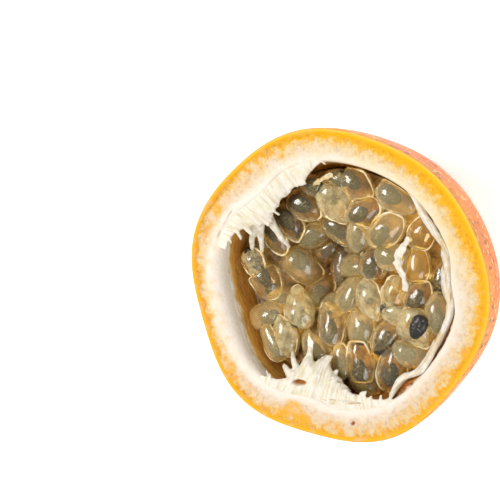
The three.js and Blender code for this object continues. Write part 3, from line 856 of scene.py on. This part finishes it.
def make_sacs(sacs):
    parts = []
    fields = {"golden": [], "wrinkled": [], "membrane_and_painted_sheen": [], "milky": [], "low": []}
    for index, (centre, half, axes, _) in enumerate(sacs):
        unit, faces = drop_mesh(*(FINE_SAC if index < len(SACS) else PLAIN_SAC), SAC_PEAR, SAC_SQUARE)
        round_points = centre + (unit * half) @ axes
        points = press(round_points, index, sacs)
        pressed = np.linalg.norm(points - round_points, axis=1)
        crumpled = index in CRUMPLED
        # Pale skin where a sac presses on a neighbour is real; the pale band along its sides is painted sheen
        # of its edge seen from above, and the pale wash on crumpled sacs is painted highlight.
        skin_and_sheen_parts = [0.7 * smooth(0.1, 0.8, pressed), 0.75 * smooth(0.55, 0.05, np.abs(unit[:, 2]))]
        skin_and_sheen_parts.append(np.full(len(points), 0.65 * crumpled))
        parts.append((keep_inside(uneven(points, index, centre)), faces))
        values = {
            "golden": 1.0 if index in SEEDLESS else 0.3 * hashed(index, 3, 3, 7),
            "wrinkled": 1.0 if crumpled else LITTLE_CRUMPLE,
            "membrane_and_painted_sheen": np.max(skin_and_sheen_parts, axis=0),
            "milky": hashed(index, 8, 8, 7),
            # low: painted shade, browner with depth.
            "low": smooth(8.5, 13.0, HEIGHT - points[:, 2]),
        }
        for name, value in values.items():
            fields[name].append(np.broadcast_to(value, len(points)))
    folds = [fold_mesh(index, sacs) for index in range(len(SACS))]
    folds += [ribbon_mesh(line, FLAP_WIDTH, FLAP_THICKNESS, 5 + i) for i, line in enumerate(FLAPS)]
    fold_points = sum(len(points) for points, _ in folds)
    for name, value in {"golden": 0.0, "wrinkled": 0.0, "membrane_and_painted_sheen": 1.5, "milky": 1.0, "low": 0.0}.items():
        fields[name] = np.concatenate([*fields[name], np.full(fold_points, value)])
    points, faces = join(parts + folds)
    make_piece("seed_sacs", points, faces, jelly_look(), ["pulp"], fields)


SEED_HALF = np.array([2.75, 1.9, 0.95])
SEED_SHIFT = 0.14  # towards the sac's blunt end, as a share of its length
BARE_SEED = np.array([2.7, 1.85, 1.0])
BARE_SEED_AZIMUTH = 246
BARE_SEED_PLACE = np.array([1.4, 0.3, 0.0])  # from the middle of its sac
SEED_TILT = 24  # degrees over which the seeds lean to either side


def make_seeds(sacs):
    parts = []
    for index, (centre, half, axes, shown) in enumerate(sacs):
        if not shown:
            continue
        unit, faces = drop_mesh(26, 16, 0.2, 0.9)
        size = SEED_HALF * (0.92 + 0.16 * hashed(index, 1, 1, 7))
        lift = (half[2] - size[2]) * 0.55
        tilt = math.radians(SEED_TILT * (hashed(index, 2, 2, 7) - 0.5))
        roll = np.array(Matrix.Rotation(tilt, 3, "X"))
        points = (unit * size) @ roll
        points = points * (1 + 0.05 * layered_noise(points + 5.0 * index, 0.9, 2, 101)[:, None])
        if index == CUT_SAC:
            axes = heap_axes(centre[0], centre[1], BARE_SEED_AZIMUTH)
            points = points / size * BARE_SEED
            centre = centre + BARE_SEED_PLACE + axes[2] * (half[2] - 0.5 * BARE_SEED[2] - lift)
        else:
            centre = centre - axes[0] * 2 * half[0] * SEED_SHIFT
        points = centre + points @ axes + axes[2] * lift
        parts.append((points, faces))
    points, faces = join(parts)
    make_piece("seeds", points, faces, seed_look(), [])


CORE_SECTORS = 160
CORE_SINK = 1.2
CORE_RIM = 9.0  # least depth of its top


def make_core():
    azimuth = np.arange(CORE_SECTORS) * 360 / CORE_SECTORS
    inset = GAP + LINING_THICKNESS + 0.2
    rings = []
    for share in np.linspace(0, 1, 24)[1:-1][::-1]:
        depth = CORE_RIM + (CAVITY_DEPTH - inset - CORE_RIM) * math.sin(share * math.pi / 2)
        rings.append(ring_points(azimuth, bowl_radius(azimuth, depth, inset), HEIGHT - depth))
    edge = bowl_radius(azimuth, CORE_RIM, inset)
    for share in np.linspace(1, 0, 60)[:-1]:
        flat = ring_points(azimuth, edge * share, 0.0)
        depth = core_depth(flat[:, 0], flat[:, 1]) + CORE_SINK
        depth += 0.9 * layered_noise(flat, 4.0, 3, 111) * (1 - share**8)
        rings.append(ring_points(azimuth, edge * share, HEIGHT - np.maximum(depth, CORE_RIM)))
    top = [0, 0, HEIGHT - core_depth(0, 0) - CORE_SINK]
    points, faces = tube([0, 0, HEIGHT - CAVITY_DEPTH + inset], rings, top)
    make_piece("pulp_core", points, faces, core_look(), ["pulp"])


# ---- Placentas ----

# Radius, azimuth and depth of a stalk's foot and of its tip, and its thickness, as in the model. The
# right-hand placenta's stalk stays low here, and its two crosswise stalks are the ribbon below.
STALKS = {
    "placenta_right": [
        (21.8, 5, 7.2, 18, 8, 7.4, 1.6),
    ],
    "placenta_upper_left": [
        (21.4, 141, 3, 15, 153, 6.4, 1.5), (22.8, 145, 3, 20.6, 166, 7.4, 1.6),
        (23.6, 149, 3, 22.4, 166, 6.4, 1.4),
    ],
    "placenta_lower": [
        (23, 241, 2.8, 22.8, 233, 4.6, 1.6), (21.6, 245, 3, 20, 232, 5.5, 1.6),
        (19.4, 252, 2.8, 14.6, 233, 6, 1.4), (20.4, 252, 2.6, 17.8, 245, 2.8, 1.7),
        (20, 264, 2.8, 16.4, 255, 5.2, 1.8), (22.6, 273, 2.6, 20.2, 270, 3.6, 1.5),
    ],
}

# The ragged edge of each shelf: azimuth and reach from the wall. Then the shelf's depth at its root.
SHELVES = {
    "placenta_right": ([(-10, 0), (-6, 1.6), (4, 2.6), (12, 1.8), (17, 0)], 6.4),
    "placenta_upper_left": (
        [(96, 0), (104, 2.2), (113, 4.4), (120, 4.2), (127, 3.8), (134, 4.6), (140, 6.4), (145, 5.2),
         (150, 3.4), (157, 1.4), (166, 0)], 0.25,
    ),
    "placenta_lower": (
        [(229, 0), (237, 1.6), (242, 3.4), (247, 6.6), (254, 8.0), (260, 7.2), (266, 6.2), (272, 5.0),
         (280, 3.2), (290, 1.8), (300, 0)], 0.25,
    ),
}
SHELF_ROOT = 1.8  # how far a shelf runs back into the pith
SHELF_THICKNESS = 2.2
SHELF_UNDER = 0.14  # the shelf's body lies this far under its fibre bundles
SHELF_SAG = 0.045  # depth gained per square millimetre of reach
LENS_HOLE = (-8.5, -21.3, 1.5, 0.55)  # centre and half sizes of a small hole in the lower shelf: a dent, painted amber for the pulp and shade seen through it
HOLE_DEPTH = 1.6
STALK_ARCH = 1.1
VOXEL = 0.22
SOFTEN_STEPS = 3


def stalk_mesh(spec, seed):
    """A soft cord with a flared foot, along an arch that wavers a little."""
    foot_radius, foot_azimuth, foot_depth, tip_radius, tip_azimuth, tip_depth, width = spec
    foot = ring_points(foot_azimuth, foot_radius, HEIGHT - foot_depth)
    tip = ring_points(tip_azimuth, tip_radius, HEIGHT - tip_depth)
    middle = (foot + tip) / 2 + [0, 0, STALK_ARCH]
    foot = foot + (foot - tip) * 0.25
    rows, sides = [], 12
    turn = np.arange(sides) * 2 * np.pi / sides
    along = (tip - foot) / np.linalg.norm(tip - foot)
    side = np.cross(along, [0, 0, 1.0])
    side /= np.linalg.norm(side)
    over = np.cross(side, along)
    for step in np.linspace(0, 1, 18):
        centre = (1 - step) ** 2 * foot + 2 * step * (1 - step) * middle + step**2 * tip
        centre = centre + side * 0.35 * noise([[step * 3, seed, 0]], 1.0, 121)[0]
        half = width / 2 * (1 + 1.1 * (1 - step) ** 4 - 0.3 * step - 0.35 * step**6)
        rows.append(centre + half * (np.cos(turn)[:, None] * side * 1.15 + np.sin(turn)[:, None] * over * 0.8))
    return tube(foot, rows, tip + along * 0.2)


# Points along the right-hand ribbon: x, y, depth. Then its width and thickness.
RIBBON = [
    (15.4, 10.6, 3.8), (14.4, 9, 3.2), (13.2, 6.8, 2.9), (13.3, 4.4, 2.7), (14.3, 3, 2.7),
    (14.5, 1.2, 2.8), (14.9, -0.6, 3.1),
]
RIBBON_WIDTH, RIBBON_THICKNESS = 2.0, 0.35
RIBBON_CRUMPLE = np.array([0.55, 0.4, 0.45])  # along each axis


def ribbon_mesh(line, width, thickness, seed):
    """A wavy flat ribbon that twists a little, along a line of points."""
    line = np.array(line, float)
    line[:, 2] = HEIGHT - line[:, 2]
    steps = np.linspace(0, len(line) - 1, 12 * (len(line) - 1))
    path = np.stack([np.interp(steps, np.arange(len(line)), line[:, axis]) for axis in range(3)], -1)
    along = np.gradient(path, axis=0)
    along /= np.linalg.norm(along, axis=1)[:, None]
    twist = 0.9 * noise(np.stack([steps * 1.3, steps * 0 + seed, steps * 0], -1), 1.0, 191)
    level = np.cross(along, [0, 0, 1.0])
    level /= np.linalg.norm(level, axis=1)[:, None]
    up = np.cross(level, along)
    side = np.cos(twist)[:, None] * level + np.sin(twist)[:, None] * up
    over = np.cross(side, along)
    swell = 1 + 0.35 * noise(np.stack([steps * 1.7, steps * 0 + seed, steps * 0 + 9], -1), 1.0, 192)
    half = width / 2 * swell * np.clip(0.4 + 4 * np.minimum(steps, len(line) - 1 - steps), 0.4, 1)
    turn = np.linspace(0, 2 * np.pi, 20, endpoint=False)
    flat = np.sign(np.cos(turn)) * np.abs(np.cos(turn)) ** 0.7
    crease = 0.25 * thickness * np.cos(3 * np.pi * flat)
    rows = []
    for centre, across, upward, reach in zip(path, side, over, half):
        rise = np.sin(turn) * thickness / 2 + crease
        rows.append(centre + flat[:, None] * across * reach + rise[:, None] * upward)
    points, faces = tube(path[0], rows, path[-1])
    crumple = np.stack([layered_noise(points, 1.0, 3, 143 + axis) for axis in range(3)], -1)
    return points + crumple * RIBBON_CRUMPLE, faces


STRIP_SPACING = 2.9  # degrees between the fibre bundles of a shelf
STRIP_HALF_WIDTH = 0.85
STRIP_HALF_THICKNESS = 0.32
STRIP_LEAN = 14  # degrees
STRIP_DIVE = 1.6  # how far its root sinks into the pith


def strip_mesh(name, azimuth, index):
    """One flat fibre bundle of a shelf, from inside the pith to its blunt end."""
    edge, drop = SHELVES[name]
    turns, reaches = np.array(edge, float).T
    chance = [hashed(index, len(name), place, 23) for place in range(6)]
    azimuth = azimuth + STRIP_SPACING * (chance[5] - 0.5)
    reach = float(np.interp(azimuth, turns, reaches)) * (0.82 + 0.4 * chance[0])
    wall = float(cavity_radius(np.array(azimuth), 0))
    start = wall + SHELF_ROOT * (0.2 + 1.6 * chance[1])
    lean = STRIP_LEAN * (chance[2] - 0.5)
    width = STRIP_HALF_WIDTH * (0.45 + 1.1 * chance[3] ** 2)
    turn = np.linspace(0, 2 * np.pi, 16, endpoint=False)
    across = np.sign(np.cos(turn)) * np.abs(np.cos(turn)) ** 0.6 * width
    rise = np.sign(np.sin(turn)) * np.abs(np.sin(turn)) ** 0.7 * STRIP_HALF_THICKNESS
    rows = []
    for step in np.linspace(0, 1, 20):
        radius = start + (wall - reach - start) * step
        angle = math.radians(azimuth + lean * step)
        dive = STRIP_DIVE * float(smooth(wall, wall + 1.5, radius))
        depth = drop - 0.05 + 0.4 * chance[4] + dive + SHELF_SAG * max(wall - radius, 0) ** 2
        side = across * (1 - 0.25 * step)
        x = radius * math.cos(angle) - side * math.sin(angle)
        y = radius * math.sin(angle) + side * math.cos(angle)
        rows.append(np.stack([x, y, HEIGHT - depth - STRIP_HALF_THICKNESS + rise], -1))
    return tube(rows[0].mean(0), rows, rows[-1].mean(0))


def shelf_mesh(name):
    """The body of a ragged shelf that grows out of the pith, closed all round."""
    edge, drop = SHELVES[name]
    turns, reaches = np.array(edge, float).T
    across, along = 110, 22
    rows = []
    for azimuth in np.linspace(turns[0], turns[-1], across):
        wall = float(cavity_radius(np.array(azimuth), 0)) + SHELF_ROOT
        reach = float(np.interp(azimuth, turns, reaches))
        reach *= 1 + 0.2 * layered_noise([[azimuth / 3.0, drop, 0.0]], 1.0, 3, 151)[0]
        full = min(1.0, 0.35 + reach / 4)
        turn = np.linspace(0, 2 * np.pi, along, endpoint=False)
        out = 0.5 - 0.5 * np.cos(turn)
        radius = wall - (SHELF_ROOT + reach) * out
        sag = SHELF_SAG * np.clip(wall - SHELF_ROOT - radius, 0, None) ** 2
        thick = SHELF_THICKNESS * full * (1 - 0.5 * out)
        depth = drop + SHELF_UNDER + thick / 2 + sag - np.sin(turn) * thick / 2
        rows.append(ring_points(azimuth, radius, HEIGHT - depth))
    return tube(rows[0].mean(0), rows, rows[-1].mean(0))


def make_placenta(name, material):
    """Shelf, fibre bundles, stalks and ribbon grown into one body."""
    right = name == "placenta_right"
    parts = [shelf_mesh(name)] + [stalk_mesh(spec, i) for i, spec in enumerate(STALKS[name])]
    turns = [azimuth for azimuth, _ in SHELVES[name][0]]
    bundles = np.arange(turns[0] + STRIP_SPACING, turns[-1] - 0.5 * STRIP_SPACING, STRIP_SPACING)
    parts += [strip_mesh(name, azimuth, i) for i, azimuth in enumerate(bundles)]
    if right:
        parts.append(ribbon_mesh(RIBBON, RIBBON_WIDTH, RIBBON_THICKNESS, 1))
    points, faces = join(parts)
    piece = make_piece(name + "_stalks", points, faces, material, [name])
    remesh = piece.modifiers.new("one_body", "REMESH")
    remesh.mode = "VOXEL"
    remesh.voxel_size = VOXEL * MM
    remesh.use_smooth_shade = True
    soften = piece.modifiers.new("soften", "SMOOTH")
    soften.iterations = SOFTEN_STEPS
    graph = bpy.context.evaluated_depsgraph_get()
    mesh = bpy.data.meshes.new_from_object(piece.evaluated_get(graph))
    piece.modifiers.clear()
    piece.data = mesh
    points = np.zeros(len(mesh.vertices) * 3)
    mesh.vertices.foreach_get("co", points)
    points = points.reshape(-1, 3) / MM
    radius = np.hypot(points[:, 0], points[:, 1])
    angle = np.arctan2(points[:, 1], points[:, 0])
    ridges = layered_noise(np.stack([angle * 16, radius / 5, points[:, 2] / 5], -1), 1.0, 3, 141)
    hollows = layered_noise(points, 2.6, 2, 142)
    on_shelf = smooth(14.0, 17.0, radius) * (not right)
    points[:, 2] += 0.1 * hollows + on_shelf * (0.22 * ridges + 0.25 * np.minimum(hollows, 0.2))
    x, y, half_x, half_y = LENS_HOLE
    off = np.hypot((points[:, 0] - x) / half_x, (points[:, 1] - y) / half_y)
    painted_hole = smooth(1.2, 0.7, off)
    points[:, 2] -= HOLE_DEPTH * painted_hole
    points[:, 2] = np.minimum(points[:, 2], HEIGHT - 0.1)
    mesh.vertices.foreach_set("co", (points * MM).ravel())
    fibre = np.stack([np.cos(angle), np.sin(angle), radius / FACE_RADIUS], -1)
    shelf = smooth(3.6, 2.4, HEIGHT - points[:, 2]) * (not right)
    finish_mesh(mesh, {"painted_hole": painted_hole, "fibre": fibre, "shelf": shelf})


# ---- Camera, floor and light ----

VIEW_TILT = 24  # degrees between the line of sight and the cut face's normal
VIEW_AZIMUTH = 20
VIEW_DISTANCE = 349.0
LENS = 120
SENSOR = 36
OFF_CENTRE = (0.186, -0.07)  # where the fruit stands from the picture's centre, in picture widths
AIM_POINT = (2.0, 0.4)  # point of the cut face that stands there
CLIP = (0.01, 10)  # metres
FLOOR_HALF = 60.0  # metres, so that it reaches the horizon in side views
FLOOR_GLOW = 0.5
STUDIO_LIGHT = 0.47
LIT_POINT = (0, 0, 20)
# Name, place, size and watts of each soft light.
SOFTBOXES = [
    ("key", (-190, 90, 330), (150, 120), 0.85),
    ("fill", (220, -150, 300), (200, 160), 0.5),
]


def place_camera():
    tilt, azimuth = math.radians(VIEW_TILT), math.radians(VIEW_AZIMUTH)
    back = Vector((math.sin(tilt) * math.cos(azimuth), math.sin(tilt) * math.sin(azimuth), math.cos(tilt)))
    right = Vector((0, 1, 0)).cross(back).normalized()
    up = back.cross(right)
    target = Vector((*AIM_POINT, HEIGHT))
    eye = target + back * VIEW_DISTANCE
    width = VIEW_DISTANCE * SENSOR / LENS
    aim = target - right * OFF_CENTRE[0] * width - up * OFF_CENTRE[1] * width
    look = (eye - aim).normalized()
    across = up.cross(look).normalized()
    turn = Matrix((across, look.cross(across), look)).transposed()
    data = bpy.data.cameras.new("camera")
    data.lens, data.sensor_width = LENS, SENSOR
    data.clip_start, data.clip_end = CLIP
    camera = bpy.data.objects.new("camera", data)
    camera.matrix_world = Matrix.Translation(eye * MM) @ turn.to_4x4()
    bpy.context.scene.collection.objects.link(camera)
    bpy.context.scene.camera = camera


def add_softbox(name, place, size, power):
    data = bpy.data.lights.new(name, "AREA")
    data.shape = "RECTANGLE"
    data.size, data.size_y = size[0] * MM, size[1] * MM
    data.energy = power
    lamp = bpy.data.objects.new(name, data)
    lamp.location = Vector(place) * MM
    lamp.rotation_euler = (Vector(place) - Vector(LIT_POINT)).to_track_quat("Z", "Y").to_euler()
    bpy.context.scene.collection.objects.link(lamp)


def add_floor():
    look = Look("floor", 0.9)
    look.colour(look.mix(look.noise(60, 2), "fbfbfa", "f8f8f7"))
    look.shader.inputs["Emission Color"].default_value = (1.0, 1.0, 1.0, 1.0)
    look.shader.inputs["Emission Strength"].default_value = FLOOR_GLOW
    corners = [(x * FLOOR_HALF, y * FLOOR_HALF, 0) for x, y in ((-1, -1), (1, -1), (1, 1), (-1, 1))]
    mesh = bpy.data.meshes.new("floor")
    mesh.from_pydata(corners, [], [(0, 1, 2, 3)])
    mesh.materials.append(look.material)
    floor = bpy.data.objects.new("floor", mesh)
    bpy.context.scene.collection.objects.link(floor)


def add_light():
    world = bpy.data.worlds.new("studio")
    world.use_nodes = True
    background = world.node_tree.nodes["Background"]
    background.inputs["Color"].default_value = (1.0, 1.0, 1.0, 1.0)
    background.inputs["Strength"].default_value = STUDIO_LIGHT
    scene = bpy.context.scene
    scene.world = world
    for softbox in SOFTBOXES:
        add_softbox(*softbox)
    scene.view_settings.view_transform = "Standard"
    scene.cycles.use_denoising = True
    scene.cycles.max_bounces = 14
    scene.cycles.transmission_bounces = 12
    scene.cycles.transparent_max_bounces = 16


place_camera()
add_floor()
add_light()
make_shell()
make_lining()
seed_sacs = all_sacs()
make_sacs(seed_sacs)
make_seeds(seed_sacs)
make_core()
stalk_material = stalk_look()
for placenta in STALKS:
    make_placenta(placenta, stalk_material)
